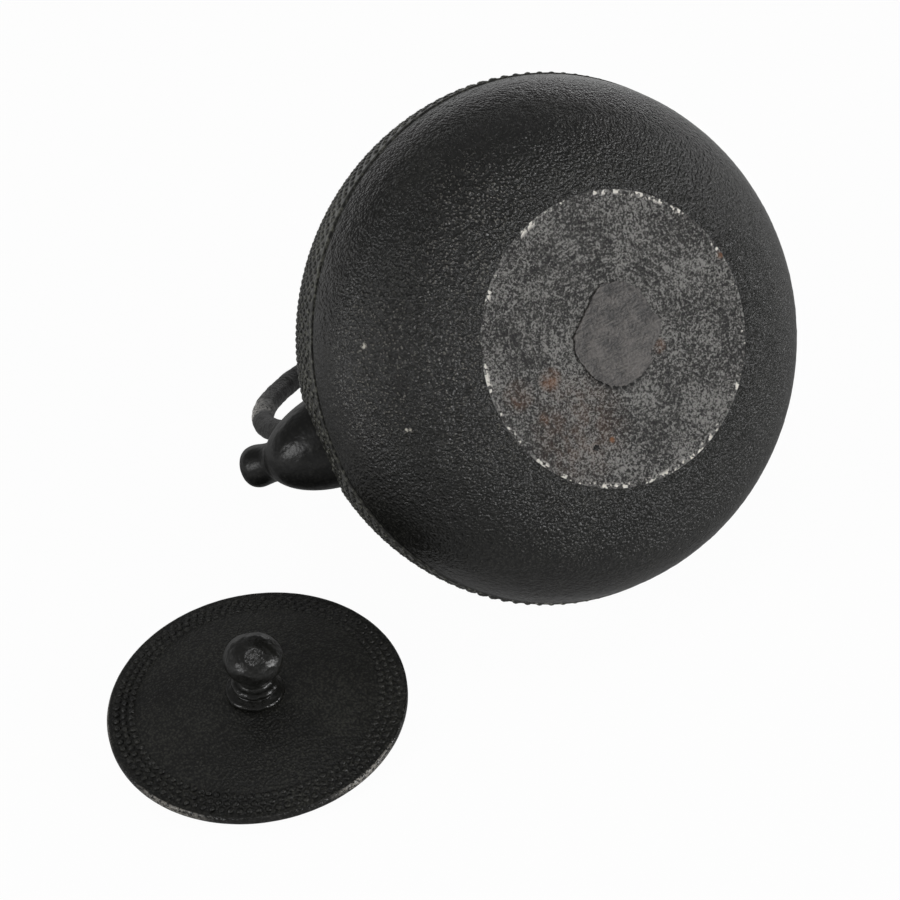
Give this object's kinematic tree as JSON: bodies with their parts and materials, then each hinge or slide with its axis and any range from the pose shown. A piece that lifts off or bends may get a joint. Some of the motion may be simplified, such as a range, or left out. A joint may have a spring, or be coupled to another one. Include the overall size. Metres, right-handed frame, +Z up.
{
  "type": "cast iron kettle",
  "caption": "Round cast iron kettle with hobnailed shoulder, stub spout, swinging arch handle and lift-off lid with ball knob, lying on its side with the lid beside it.",
  "frame": {"origin": "middle of the footprint box, on the surface that the kettle and its lid lie on", "axes": "+Z up; the spout points to -X; the base disc faces -Y and up, the mouth faces +Y and down"},
  "size_m": [0.2683, 0.1922, 0.159],
  "materials": {
    "body_iron": "black lacquer-baked cast iron, satin, orange-peel skin below, hobnails above, bare sandy base disc",
    "spout_iron": "smooth black cast iron, semi-gloss",
    "handle_iron": "rough worn black iron rod",
    "lid_iron": "matt black cast iron with a worn edge",
    "knob_iron": "smooth dented black iron, semi-gloss",
    "washer_iron": "plain dark iron"
  },
  "bodies": {
    "kettle": {"kettle_body": "body_iron", "spout": "spout_iron", "ear_front": "body_iron", "ear_rear": "body_iron"},
    "handle": {"handle": "handle_iron"},
    "lid": {"lid_plate": "lid_iron", "knob": "knob_iron", "knob_washer": "washer_iron"}
  },
  "joints": [
    {"name": "handle_swing", "type": "hinge", "parent": "kettle", "child": "handle", "pos_m": [0.04707, 0.01209, 0.05299], "axis": [1, 0, 0], "range_deg": [0, 106]},
    {"name": "lid_lift", "type": "slide", "parent": "kettle", "child": "lid", "axis": [-0.5, 0, 0.866], "range_m": [0, 0.15]}
  ]
}
